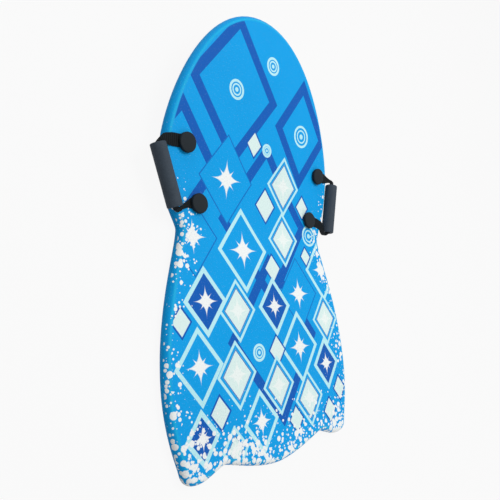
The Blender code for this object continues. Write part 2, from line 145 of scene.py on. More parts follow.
# wraps a socket, so that shader maths reads as plain expressions
class Wire:
    def __init__(self, tree, socket=None):
        self.tree, self.socket = tree, socket

    def node(self, kind, settings=None, inputs=None, output=0):
        made = self.tree.nodes.new(kind)
        for key, value in (settings or {}).items():
            setattr(made, key, value)
        for key, value in (inputs or {}).items():
            if isinstance(value, Wire):
                self.tree.links.new(value.socket, made.inputs[key])
            else:
                made.inputs[key].default_value = value
        return Wire(self.tree, made.outputs[output])

    def other(self, output):
        return Wire(self.tree, self.socket.node.outputs[output])

    def maths(self, operation, *values):
        return self.node("ShaderNodeMath", {"operation": operation}, dict(enumerate(values)))

    def __add__(self, value): return self.maths("ADD", self, value)
    def __radd__(self, value): return self.maths("ADD", value, self)
    def __sub__(self, value): return self.maths("SUBTRACT", self, value)
    def __rsub__(self, value): return self.maths("SUBTRACT", value, self)
    def __mul__(self, value): return self.maths("MULTIPLY", self, value)
    def __rmul__(self, value): return self.maths("MULTIPLY", value, self)
    def __truediv__(self, value): return self.maths("DIVIDE", self, value)
    def __pow__(self, value): return self.maths("POWER", self, value)
    def __abs__(self): return self.maths("ABSOLUTE", self)

    def most(self, value): return self.maths("MAXIMUM", self, value)
    def floor(self): return self.maths("FLOOR", self)
    def sin(self): return self.maths("SINE", self)
    def clamp(self): return self.node("ShaderNodeClamp", None, {0: self})

    # 1 where the value is under (or over) the limit, across a soft edge
    def under(self, limit, soft): return ((limit - self) / soft + 0.5).clamp()
    def over(self, limit, soft): return ((self - limit) / soft + 0.5).clamp()

    def parts(self):
        first = self.node("ShaderNodeSeparateXYZ", None, {0: self})
        return first, first.other(1), first.other(2)

    def vector(self, x, y, z=0.0):
        return self.node("ShaderNodeCombineXYZ", None, {0: x, 1: y, 2: z})

    def mix(self, first, second):
        inputs = {0: self, 6: withAlpha(first), 7: withAlpha(second)}
        return self.node("ShaderNodeMix", {"data_type": "RGBA"}, inputs, 2)

    def noise(self, scale, detail, rough):
        inputs = {"Vector": self, "Scale": scale, "Detail": detail, "Roughness": rough}
        return self.node("ShaderNodeTexNoise", None, inputs)

    def cells(self, scale, **settings):
        return self.node("ShaderNodeTexVoronoi", settings, {"Vector": self, "Scale": scale})


# a material with its shader, and a wire on which its nodes are made
def newMaterial(name):
    mat = bpy.data.materials.new(name)
    mat.use_nodes = True
    shader = mat.node_tree.nodes["Principled BSDF"]
    return mat, shader, Wire(mat.node_tree)


# sets or links the shader's inputs by name
def plug(shader, **inputs):
    for key, value in inputs.items():
        target = shader.inputs[key.replace("_", " ")]
        if isinstance(value, Wire):
            value.tree.links.new(value.socket, target)
        else:
            target.default_value = withAlpha(value)


# puts the material on a piece and names the body that carries it
def give(obj, mat, body=None):
    obj.data.materials.clear()
    obj.data.materials.append(mat)
    if body:
        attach(obj, body)
    return obj


def attribute(wire, name):
    return wire.node("ShaderNodeAttribute", {"attribute_name": name}, None, 1)


def objectPlace(wire):
    return wire.node("ShaderNodeTexCoord", None, None, "Object")


# one bump on the next, each a height and the distance that height 1 stands out
def relief(wire, *layers):
    inputs = {"Strength": 1.0}
    for height, distance in layers:
        inputs.update({"Height": height, "Distance": distance})
        inputs["Normal"] = wire.node("ShaderNodeBump", None, inputs)
    return inputs["Normal"]


# printed film: azure with broad deep blue bands, framed and frosted diamonds and a few rings
printLook = {
    "azure": (0.002, 0.362, 0.825), "deep": (0.004, 0.110, 0.480), "line": (0.003, 0.170, 0.560),
    "frame": (0.52, 0.88, 0.94), "icy": (0.74, 0.91, 0.88), "frost": (0.88, 0.96, 0.93),
    # crown: colour of the painted highlight along the rail's crown
    "white": (0.93, 0.96, 0.95), "rail": (0.002, 0.335, 0.770), "crown": (0.016, 0.520, 0.840),
    "ink": (0.0, 0.05, 0.22),
    "fineSoft": 0.0006, "broadSoft": 0.0008,  # softness of the print's edges
    # broad bands: centre across and along, half width, half height
    "bands": [
        (-0.080, 0.745, 0.112, 0.140), (0.135, 0.700, 0.080, 0.110), (0.020, 0.480, 0.125, 0.160),
        (-0.215, 0.575, 0.085, 0.110), (0.020, 0.240, 0.125, 0.160),
    ],
    "bandWidth": 0.021,
    # rings: centre across and along, radius; an inner ring and a dot are shares of that radius
    "rings": [
        (0.025, 0.825, 0.017), (-0.080, 0.745, 0.018), (0.135, 0.695, 0.023),
        (0.020, 0.640, 0.012), (0.170, 0.465, 0.022), (-0.035, 0.215, 0.015),
    ],
    "ringWidth": 0.0052, "innerShare": 0.60, "innerWidth": 0.0032, "dotShare": 0.25,
    # kinds of diamond: fills as how far in and colour; a line as how far in, half width and colour; the star
    "kinds": {
        "outline": {"fills": [(0.0, "azure")], "line": (0.0, 0.0013, "line"), "star": "white"},
        "framed": {"fills": [(0.0, "frame"), (0.0080, "azure")], "line": None, "star": "white"},
        "deep": {"fills": [(0.0, "frame"), (0.0085, "deep")], "line": None, "star": "white"},
        "frosted": {"fills": [(0.0, "frame"), (0.0055, "azure"), (0.0105, "icy")],
                    "line": (0.0115, 0.0008, "deep"), "star": "frost"},
        "small": {"fills": [(0.0, "deep"), (0.0036, "icy")], "line": None, "star": None},
    },
    "slim": 0.80, "starShare": 0.46,  # a diamond's width and its star, as shares of its height
    "turnedShare": 0.72, "starSoft": 0.10,
    # diamonds, the later ones on top: kind, centre across and along, half height
    "diamonds": [
        ("outline", -0.095, 0.560, 0.089), ("outline", -0.185, 0.440, 0.075),
        ("outline", 0.110, 0.330, 0.080),
        ("frosted", 0.080, 0.570, 0.067), ("small", -0.020, 0.645, 0.031), ("small", 0.020, 0.520, 0.041),
        ("framed", -0.055, 0.420, 0.087), ("frosted", 0.075, 0.450, 0.062), ("small", 0.148, 0.530, 0.031),
        ("framed", 0.205, 0.385, 0.075), ("deep", -0.165, 0.320, 0.066), ("small", 0.030, 0.385, 0.034),
        ("frosted", -0.085, 0.300, 0.062), ("small", 0.150, 0.415, 0.026), ("deep", 0.025, 0.305, 0.062),
        ("framed", -0.190, 0.205, 0.071), ("frosted", 0.200, 0.270, 0.060), ("small", -0.225, 0.285, 0.031),
        ("framed", 0.095, 0.215, 0.078), ("frosted", -0.100, 0.180, 0.065), ("deep", 0.185, 0.170, 0.059),
        ("small", 0.020, 0.215, 0.034), ("frosted", 0.015, 0.145, 0.060), ("framed", -0.045, 0.085, 0.062),
        ("small", -0.150, 0.120, 0.034), ("frosted", 0.110, 0.105, 0.060), ("deep", -0.195, 0.085, 0.050),
        ("small", 0.060, 0.070, 0.031), ("small", 0.225, 0.110, 0.031), ("frosted", -0.120, 0.050, 0.043),
        ("small", 0.180, 0.068, 0.031),
    ],
    # the rail is plain, with a painted highlight along its crown; distances run from the deck's edge round
    # the rail
    "railStart": 0.0015, "railSoft": 0.0015,
    "crownHighlightAt": 0.0045, "crownHighlightHalf": 0.0020, "crownHighlightSoft": 0.0045, "crownHighlightShare": 0.75,
}
# snow dots, thick at the tail and in clumps along both sides, thinning out forward
snowLook = {
    "drift": (8.0, 2.0, 0.6), "driftGain": 3.6, "driftCut": 1.10,
    "sideReach": 0.055, "sideEnd": 0.70, "sideFade": 0.22, "sideShare": 1.10,
    "tailReach": 0.17, "tailShare": 0.80, "tailClumps": 1.3,
    "coarse": (0.0180, 0.0072), "fine": (0.0090, 0.0038), "tail": (0.0120, 0.0080),  # pitch, largest radius
    "dotSoft": 0.0007, "overRail": 0.016, "overTail": 0.008, "endSoft": 0.002,
}
# the film itself: ink grain, uneven tone and pebbled relief; noises are scale, detail, roughness
filmLook = {
    "grain": (900.0, 2.0, 0.6), "grainShare": 0.5, "mottle": (330.0, 1.0, 0.5), "mottleShare": 0.45,
    "tone": (5.0, 2.0, 0.5), "toneShare": 0.3,
    "pebble": 720.0, "pebbleShare": 0.7, "fine": (1500.0, 2.0, 0.6), "fineShare": 0.3, "pebbleDeep": 0.00022,
    "wave": (16.0, 2.0, 0.4), "waveDeep": 0.0016,
    "rough": 0.40, "haze": (60.0, 3.0, 0.6), "hazeRough": 0.14, "grainRough": 0.06, "specular": 0.10,
}


# distance beyond a diamond's edge, negative inside: (|x|/a + |y|/b - 1) times a b / sqrt(a^2 + b^2)
def beyondDiamond(x, y, a, b):
    return (abs(x) / a + abs(y) / b - 1.0) * (a * b / math.hypot(a, b))


# four-pointed star where sqrt|x| + sqrt|y| is under sqrt(reach)
def starShape(x, y, reach):
    return ((abs(x) ** 0.5 + abs(y) ** 0.5) / math.sqrt(reach)).under(1.0, printLook["starSoft"])


# a star and a smaller one turned by 45 degrees: x and y become (x + y) and (x - y), times sqrt(1/2)
def eightPointStar(x, y, reach):
    half = math.sqrt(0.5)
    turned = starShape((x + y) * half, (x - y) * half, reach * printLook["turnedShare"])
    return starShape(x, y, reach).most(turned)


def printedPattern(x, y):
    look = printLook
    fine, broad = look["fineSoft"], look["broadSoft"]
    bands = None
    for cx, cy, a, b in look["bands"]:
        band = abs(beyondDiamond(x - cx, y - cy, a, b)).under(look["bandWidth"] / 2, broad)
        bands = band if bands is None else bands.most(band)
    colour = bands.mix(look["azure"], look["deep"])

    for kindName, cx, cy, half in look["diamonds"]:
        kind = look["kinds"][kindName]
        px, py = x - cx, y - cy
        away = beyondDiamond(px, py, half * look["slim"], half)
        for inset, tint in kind["fills"]:
            colour = away.under(-inset, fine).mix(colour, look[tint])
        if kind["line"]:
            inset, halfWidth, tint = kind["line"]
            colour = abs(away + inset).under(halfWidth, fine).mix(colour, look[tint])
        if kind["star"]:
            star = eightPointStar(px, py, half * look["starShare"])
            colour = star.mix(colour, look[kind["star"]])

    for cx, cy, radius in look["rings"]:
        away = ((x - cx) ** 2.0 + (y - cy) ** 2.0) ** 0.5
        outer = abs(away - radius).under(look["ringWidth"] / 2, broad)
        inner = abs(away - radius * look["innerShare"]).under(look["innerWidth"] / 2, broad)
        dot = away.under(radius * look["dotShare"], broad)
        colour = away.under(radius, broad).mix(colour, look["azure"])
        colour = outer.most(inner).most(dot).mix(colour, look["frame"])
    return colour


# round dots, one to a cell; the weight says how many cells have one and how large it is
def snowDots(flat, weight, pitch, radius):
    cell = flat.cells(1 / pitch, voronoi_dimensions="2D")
    pick = cell.other("Color").parts()[0]
    return (cell * pitch).under((weight + pick - 1.0).clamp() * radius, snowLook["dotSoft"])


def snowCover(flat, y, edge):
    look = snowLook
    clump = (flat.noise(*look["drift"]) * look["driftGain"] - look["driftCut"]).clamp()
    side = (edge / look["sideReach"] + 1.0).clamp() * ((look["sideEnd"] - y) / look["sideFade"]).clamp()
    tail = ((look["tailReach"] - y) / look["tailReach"]).clamp()
    weight = (side * look["sideShare"] * clump + tail * look["tailShare"]).clamp()
    snow = snowDots(flat, weight, *look["coarse"]).most(snowDots(flat, weight, *look["fine"]))
    snow = snow.most(snowDots(flat, tail * look["tailClumps"] * clump, *look["tail"]))
    return snow * edge.under(look["overRail"] + look["overTail"] * tail, look["endSoft"])


def printedFilm():
    mat, shader, wire = newMaterial("printed_film")
    x, y, edge = attribute(wire, "plan").parts()
    flat = wire.vector(x, y)
    look = printLook
    colour = printedPattern(x, y)
    colour = edge.over(look["railStart"], look["railSoft"]).mix(colour, look["rail"])
    # painted highlight: a paler band of colour along the rail's crown
    crown = abs(edge - look["crownHighlightAt"]).under(look["crownHighlightHalf"], look["crownHighlightSoft"])
    colour = (crown * look["crownHighlightShare"]).mix(colour, look["crown"])
    colour = snowCover(flat, y, edge).mix(colour, look["white"])

    film = filmLook
    grain = flat.noise(*film["grain"])
    mottle = flat.noise(*film["mottle"])
    tone = flat.noise(*film["tone"])
    uneven = (grain - 0.5) * film["grainShare"] + (mottle - 0.5) * film["mottleShare"]
    uneven = uneven + (tone - 0.5) * film["toneShare"]
    colour = uneven.clamp().mix(colour, look["ink"])

    place = objectPlace(wire)
    pebble = place.cells(film["pebble"], feature="SMOOTH_F1")
    pebble = pebble * film["pebbleShare"] + place.noise(*film["fine"]) * film["fineShare"]
    normal = relief(wire, (place.noise(*film["wave"]), film["waveDeep"]), (pebble, film["pebbleDeep"]))
    rough = film["rough"] + film["hazeRough"] * place.noise(*film["haze"]) + film["grainRough"] * grain
    plug(shader, Base_Color=colour, Roughness=rough, Normal=normal, Specular_IOR_Level=film["specular"])
    return mat


# slick sheet: streaked along the board, with a few scratches, both by scale across and along
slickLook = {
    "dark": (0.012, 0.17, 0.50), "pale": (0.03, 0.27, 0.68), "scuffed": (0.35, 0.55, 0.75),
    "streaks": (260.0, 6.0), "streak": (1.0, 3.0, 0.6), "tone": (7.0, 2.0, 0.5),
    "scratches": (900.0, 9.0), "scratch": (1.0, 2.0, 0.7), "scratchFrom": 0.70, "scratchSoft": 0.06,
    "scratchShare": 0.35, "wave": (22.0, 2.0, 0.4), "waveDeep": 0.0008, "streakDeep": 0.00006,
    "rough": 0.22, "streakRough": 0.18, "ior": 1.5,
}


def slickSheet():
    look = slickLook
    mat, shader, wire = newMaterial("slick_sheet")
    place = objectPlace(wire)
    x, y, z = place.parts()
    streakAcross, streakAlong = look["streaks"]
    streak = wire.vector(x * streakAcross, y * streakAlong, z).noise(*look["streak"])
    tone = place.noise(*look["tone"])
    colour = (streak * 0.5 + tone * 0.5).mix(look["dark"], look["pale"])
    scratchAcross, scratchAlong = look["scratches"]
    scratch = wire.vector(x * scratchAcross, y * scratchAlong, z).noise(*look["scratch"])
    scratch = scratch.over(look["scratchFrom"], look["scratchSoft"])
    colour = (scratch * look["scratchShare"]).mix(colour, look["scuffed"])
    wave = place.noise(*look["wave"])
    normal = relief(wire, (wave, look["waveDeep"]), (streak + scratch, look["streakDeep"]))
    rough = look["rough"] + look["streakRough"] * streak
    plug(shader, Base_Color=colour, Roughness=rough, Normal=normal, IOR=look["ior"])
    return mat


# webbing: broad crosswise ribs, each of fine rows whose yarn turns change place from row to row
webbingLook = {
    "dark": (0.0015, 0.0022, 0.0030), "pale": (0.018, 0.023, 0.027),
    "rib": 0.0046, "row": 0.00115, "yarn": 0.0016,  # pitches
    "selvedge": 0.0112, "selvedgeSoft": 0.0006,  # the woven edge begins this far from the middle
    "fuzz": (2600.0, 2.0, 0.7), "fuzzDeep": 0.00008, "worn": (90.0, 3.0, 0.6), "weaveDeep": 0.0007,
    "rough": 0.80, "fuzzRough": 0.15, "specular": 0.12,
}


def wovenWebbing():
    look = webbingLook
    mat, shader, wire = newMaterial("webbing")
    run, across, _ = attribute(wire, "weave").parts()
    circle = 2 * math.pi
    rib = (run * (circle / look["rib"])).sin()
    row = (run * (circle / look["row"])).sin()
    yarn = (across * (circle / look["yarn"]) + (run / look["row"]).floor() * math.pi).sin()
    selvedge = abs(across).over(look["selvedge"], look["selvedgeSoft"])
    # ribs with broad tops, a tenth each for yarn and rows; the selvedge keeps the ribs alone
    inside = (rib * 0.5 + 0.5) ** 0.7 * (0.8 + 0.1 * yarn + 0.1 * row)
    weave = inside * (1.0 - selvedge) + selvedge * (0.6 + 0.3 * rib)
    place = objectPlace(wire)
    fuzz = place.noise(*look["fuzz"])
    worn = place.noise(*look["worn"])
    # the colour follows the weave's relief, so the valleys between ribs and rows get painted shade; fuzz and
    # worn add random tone
    colour = (weave * 0.65 + fuzz * 0.3 + worn * 0.2 - 0.15).clamp().mix(look["dark"], look["pale"])
    normal = relief(wire, (weave, look["weaveDeep"]), (fuzz, look["fuzzDeep"]))
    rough = look["rough"] + look["fuzzRough"] * fuzz
    plug(shader, Base_Color=colour, Roughness=rough, Normal=normal, Specular_IOR_Level=look["specular"])
    return mat


# caps and washers: fine-grained moulded plastic, lightly scuffed
plasticLook = {
    "dark": (0.005, 0.0085, 0.0115), "pale": (0.016, 0.023, 0.029),
    "grain": (1900.0, 3.0, 0.6), "grainDeep": 0.00007, "scuff": (210.0, 4.0, 0.65), "scuffDeep": 0.00006,
    "rough": 0.60, "scuffRough": 0.16, "specular": 0.16,
}


def capPlastic():
    look = plasticLook
    mat, shader, wire = newMaterial("cap_plastic")
    place = objectPlace(wire)
    grain = place.noise(*look["grain"])
    scuff = place.noise(*look["scuff"])
    colour = (grain * 0.4 + scuff * 0.6).mix(look["dark"], look["pale"])
    normal = relief(wire, (scuff, look["scuffDeep"]), (grain, look["grainDeep"]))
    rough = look["rough"] + look["scuffRough"] * scuff
    plug(shader, Base_Color=colour, Roughness=rough, Normal=normal, Specular_IOR_Level=look["specular"])
    return mat


# grips: closed-cell foam with open pits here and there; the pits and the pore hollows are darkened with
# painted shade
foamLook = {
    "dark": (0.026, 0.036, 0.049), "pale": (0.066, 0.088, 0.115), "pitShade": (0.006, 0.007, 0.009),
    "pores": 900.0, "fine": (2400.0, 2.0, 0.7), "poreDeep": 0.00018,
    "tone": (55.0, 3.0, 0.6), "toneDeep": 0.0004,
    "pits": 380.0, "pitFrom": 0.10, "pitSoft": 0.05, "pitShadeShare": 0.7,
    "rough": 0.50, "fineRough": 0.16, "specular": 0.12,
}


def gripFoam():
    look = foamLook
    mat, shader, wire = newMaterial("grip_foam")
    place = objectPlace(wire)
    pores = place.cells(look["pores"], feature="SMOOTH_F1")
    fine = place.noise(*look["fine"])
    tone = place.noise(*look["tone"])
    pit = place.cells(look["pits"]).under(look["pitFrom"], look["pitSoft"])
    # the colour follows the pores' relief, so each pore hollow gets painted shade; tone varies at random
    colour = (pores * 0.5 + tone * 0.6 - 0.05).clamp().mix(look["dark"], look["pale"])
    # painted shade fills the open pits
    colour = (pit * look["pitShadeShare"]).mix(colour, look["pitShade"])
    skin = pores * 0.6 + fine * 0.4 - pit * 0.5
    normal = relief(wire, (tone, look["toneDeep"]), (skin, look["poreDeep"]))
    rough = look["rough"] + look["fineRough"] * fine
    plug(shader, Base_Color=colour, Roughness=rough, Normal=normal, Specular_IOR_Level=look["specular"])
    return mat


# screws: bare steel with a fine grain
steelLook = {
    "dark": (0.50, 0.50, 0.51), "pale": (0.70, 0.70, 0.71), "haze": (500.0, 3.0, 0.6),
    "grain": (3000.0, 3.0, 0.6), "grainDeep": 0.00003, "rough": 0.26, "grainRough": 0.22,
}


def screwSteel():
    look = steelLook
    mat, shader, wire = newMaterial("screw_steel")
    place = objectPlace(wire)
    grain = place.noise(*look["grain"])
    colour = place.noise(*look["haze"]).mix(look["dark"], look["pale"])
    rough = look["rough"] + look["grainRough"] * grain
    normal = relief(wire, (grain, look["grainDeep"]))
    plug(shader, Base_Color=colour, Metallic=1.0, Roughness=rough, Normal=normal)
    return mat


materials = {"film": printedFilm(), "slick": slickSheet(), "webbing": wovenWebbing(), "cap": capPlastic(),
             "grip": gripFoam(), "steel": screwSteel()}
print("materials made")


# board: rings on lines from the spine to the edge; the print's place and distance past the edge ride along
def boardRows(edge, shares, height):
    spine = np.stack([np.zeros(len(edge)), np.clip(edge[:, 1], board["spineLow"], board["spineHigh"])], -1)
    place = spine + (edge - spine) * shares[:, None, None]
    inset = -np.linalg.norm(edge - spine, axis=-1) * (1 - shares[:, None])
    return onBoard(place[..., 0], place[..., 1], height), np.concatenate([place, inset[..., None]], -1)


# film: the deck's rings, a half circle round the rail, then a lip turned up beside the slick sheet
def makeFilm():
    edge, normal = edgeLine()
    rail, low = board["rail"], -board["thick"]
    deck, deckPlan = boardRows(edge, np.linspace(0, 1, board["deckRings"] + 1), 0.0)
    turn = np.radians(np.linspace(90, -90, board["railSteps"] + 1))[1:, None]
    out = edge + normal * (rail * np.cos(turn))[..., None]
    wall = onBoard(out[..., 0], out[..., 1], rail * (np.sin(turn) - 1))
    arc = rail * (math.pi / 2 - turn)
    past = np.broadcast_to(arc, out.shape[:2])[..., None]
    wallPlan = np.concatenate([edge + normal * arc[..., None], past], -1)
    inner = edge - normal * board["lip"]
    lip = np.stack([onBoard(inner[:, 0], inner[:, 1], low + lift) for lift in (0.0, board["slickThick"])])
    lipPlan = np.concatenate([inner, np.full((len(inner), 1), math.pi * rail)], -1)
    lipPlan = np.broadcast_to(lipPlan, lip.shape)
    film = gridMesh("board_film", np.concatenate([deck, wall, lip]), flip=True,
                    attributes={"plan": np.concatenate([deckPlan, wallPlan, lipPlan])})
    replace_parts(give(film, materials["film"], "board"), "top_skin", "foam_core")


# frame square to the deck at one anchor, Z along the deck's normal
def deckPlace(across, along, side):
    here, above = onBoard(across, along, 0.0), onBoard(across, along, 1.0)
    place = Vector(above - here).to_track_quat("Z", "Y").to_matrix().to_4x4()
    place.translation = Vector((side * here[0], here[1], here[2]))
    return place


# slick sheet and the washers sunk into it; a drilled hole is wider than its washer by "spare"
slick = {"gap": 0.0002, "bevel": 0.0003, "rings": 8, "weld": 1e-6, "spare": 0.0004, "drillLong": 0.006}
washer = {
    "radius": 0.015, "thick": 0.0035, "recess": 0.0005, "bevel": 0.0008, "bevelSteps": 5, "steps": 72,
    "groove": (0.62, 0.60, 0.50, 0.48), "grooveDeep": 0.0005,  # groove's corners as shares of the radius
    "hole": 0.0028, "seatDeep": 0.0025, "seatSpare": 0.0003,
}


# straight drills square to the deck cut the round holes
def drillHoles(sheet):
    cutters = []
    low, radius = -board["thick"], washer["radius"] + slick["spare"]
    for side in sides.values():
        for across, along in anchors.values():
            drill = bmesh.new()
            bmesh.ops.create_cone(drill, cap_ends=True, segments=washer["steps"],
                                  radius1=radius, radius2=radius, depth=slick["drillLong"])
            place = deckPlace(across, along, side) @ Matrix.Translation((0.0, 0.0, low))
            bmesh.ops.transform(drill, verts=drill.verts, matrix=place)
            mesh = bpy.data.meshes.new("drill")
            drill.to_mesh(mesh)
            drill.free()
            cutter = addObject("drill", mesh)
            cut = sheet.modifiers.new("hole", "BOOLEAN")
            cut.operation, cut.solver, cut.object = "DIFFERENCE", "EXACT", cutter
            cutters.append(cutter)
    bpy.context.view_layer.update()
    sheet.data = bpy.data.meshes.new_from_object(sheet.evaluated_get(bpy.context.evaluated_depsgraph_get()))
    sheet.modifiers.clear()
    for cutter in cutters:
        bpy.data.objects.remove(cutter)


# closed sheet: rings out over the top, a bevelled wall, rings back underneath, welded along the centre line
def makeSlick():
    edge, normal = edgeLine()
    inner = edge - normal * (board["lip"] + slick["gap"])
    low, bevel = -board["thick"], slick["bevel"]
    shares = np.linspace(0, 1, slick["rings"] + 1)
    upper, _ = boardRows(inner, shares, low + board["slickThick"])
    wall = onBoard(inner[:, 0], inner[:, 1], low + bevel)[None]
    face, _ = boardRows(inner - normal * bevel, shares[::-1], low)
    sheet = gridMesh("slick_sheet", np.concatenate([upper, wall, face]), flip=True)
    weld = bmesh.new()
    weld.from_mesh(sheet.data)
    bmesh.ops.remove_doubles(weld, verts=weld.verts, dist=slick["weld"])
    weld.to_mesh(sheet.data)
    weld.free()
    drillHoles(sheet)
    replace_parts(give(sheet, materials["slick"], "board"), "bottom_slick")


makeFilm()
makeSlick()
print("board made")


# points carried from a piece's own frame to where it stands
def carried(points, place):
    matrix = np.array(place)
    return points @ matrix[:3, :3].T + matrix[:3, 3]


# solid of revolution: profile (radius, height) turned about the place's Z axis
def lathe(name, profile, place, steps, closeRows=False):
    profile = np.array(profile)
    angle = np.arange(steps) * (2 * math.pi / steps)
    local = np.stack([profile[:, :1] * np.cos(angle), profile[:, :1] * np.sin(angle),
                      np.repeat(profile[:, 1:2], steps, 1)], -1)
    return gridMesh(name, carried(local, place), closeRows=closeRows, flip=True)


# points of a circle's arc: centre + radius (cos, sin), from one angle in degrees to the other
def arcPoints(centre, radius, start, end, steps):
    angle = np.radians(np.linspace(start, end, steps + 1))
    return [(centre[0] + radius * math.cos(a), centre[1] + radius * math.sin(a)) for a in angle]


# webbing strip: size, height over the deck, the walk along its stations and how round its edge is
webbing = {
    "width": 0.025, "thick": 0.002, "lift": 0.0004, "step": 0.0008, "soften": 5, "softenTimes": 2,
    "around": 28, "edgePower": 0.35, "facePower": 0.7,
    "foldOut": 0.0230, "foldReach": 0.0045,  # the middle of a line beside the line of the caps, half its length
}
cap = {
    "radius": 0.019, "height": 0.0074, "dome": 0.0012, "edge": 0.0024, "foot": 0.0004, "gap": 0.0003,
    "domeSteps": 6, "edgeSteps": 7, "footSteps": 3, "steps": 72,
}
screw = {
    "head": 0.0048, "sunk": 0.0003, "rim": 0.00012, "rimFrom": 0.9, "rings": 25, "steps": 96,
    "slotHalf": 0.00062, "slotSlope": 0.00016, "slotReach": 0.0030, "reachSlope": 0.0009, "slotDeep": 0.0017,
    "neck": 0.0025, "neckFrom": 0.0028, "neckTo": 0.0060,
}


# cap profile: a shallow sphere, a rounded edge tangent to it, a straight wall and a small foot radius
def makeCap(name, place):
    base = webbing["lift"] + webbing["thick"] + cap["gap"]
    crown, radius, edge, foot = base + cap["height"], cap["radius"], cap["edge"], cap["foot"]
    sphere = (radius ** 2 + cap["dome"] ** 2) / (2 * cap["dome"])
    slope = math.degrees(math.asin((radius - edge) / (sphere - edge)))
    centre = (radius - edge, crown - sphere + (sphere - edge) * math.cos(math.radians(slope)))
    profile = (arcPoints((0.0, crown - sphere), sphere, 90, 90 - slope, cap["domeSteps"])
               + arcPoints(centre, edge, 90 - slope, 0, cap["edgeSteps"])[1:] + [(radius, base + 2 * foot)]
               + arcPoints((radius - foot, base + foot), foot, 0, -90, cap["footSteps"]) + [(0.0, base)])
    disc = lathe(name + "_cap_disc", profile, place, cap["steps"])
    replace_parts(give(disc, materials["cap"], "board"), name + "_cap")


# washer profile: flat disc with a bevelled rim, a ring groove and a cone seat round its hole
def makeWasher(name, place):
    bevel, wide, hole = washer["bevel"], washer["radius"], washer["hole"]
    low, seat = washer["recess"] - board["thick"], screw["head"] + washer["seatSpare"]
    high = low + washer["thick"]
    corners = zip(washer["groove"], (0.0, washer["grooveDeep"], washer["grooveDeep"], 0.0))
    profile = ([(hole, high), (wide, high)]
               + arcPoints((wide - bevel, low + bevel), bevel, 0, -90, washer["bevelSteps"])
               + [(wide * share, low + deep) for share, deep in corners]
               + [(seat, low), (hole, low + washer["seatDeep"])])
    ring = lathe(name + "_washer_disc", profile, place, washer["steps"], closeRows=True)
    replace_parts(give(ring, materials["cap"], "board"), name + "_washer")


# screw head: flat disc with a cross recess, whose depth falls off beside and beyond the two slots
def makeScrew(name, place):
    low, steps = washer["recess"] - board["thick"], screw["steps"]
    shares = np.linspace(0, 1, screw["rings"] + 1)[:, None]
    angle = np.arange(steps)[None, :] * (2 * math.pi / steps)
    px, py = screw["head"] * shares * np.cos(angle), screw["head"] * shares * np.sin(angle)
    beside = np.clip((screw["slotHalf"] - np.minimum(np.abs(px), np.abs(py))) / screw["slotSlope"], 0, 1)
    within = np.clip((screw["slotReach"] - np.hypot(px, py)) / screw["reachSlope"], 0, 1)
    rim = screw["rim"] * np.clip(shares - screw["rimFrom"], 0, 1) * np.ones_like(px)
    face = np.stack([px, py, low + screw["sunk"] + beside * within * screw["slotDeep"] + rim], -1)
    circle = np.stack([screw["neck"] * np.cos(angle[0]), screw["neck"] * np.sin(angle[0])], -1)
    neck = np.stack([np.concatenate([circle, np.full((steps, 1), low + deep)], -1)
                     for deep in (screw["neckFrom"], screw["neckTo"])])
    head = gridMesh(name + "_screw_head", carried(np.concatenate([face, neck]), place))
    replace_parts(give(head, materials["steel"], "board"), name + "_screw")


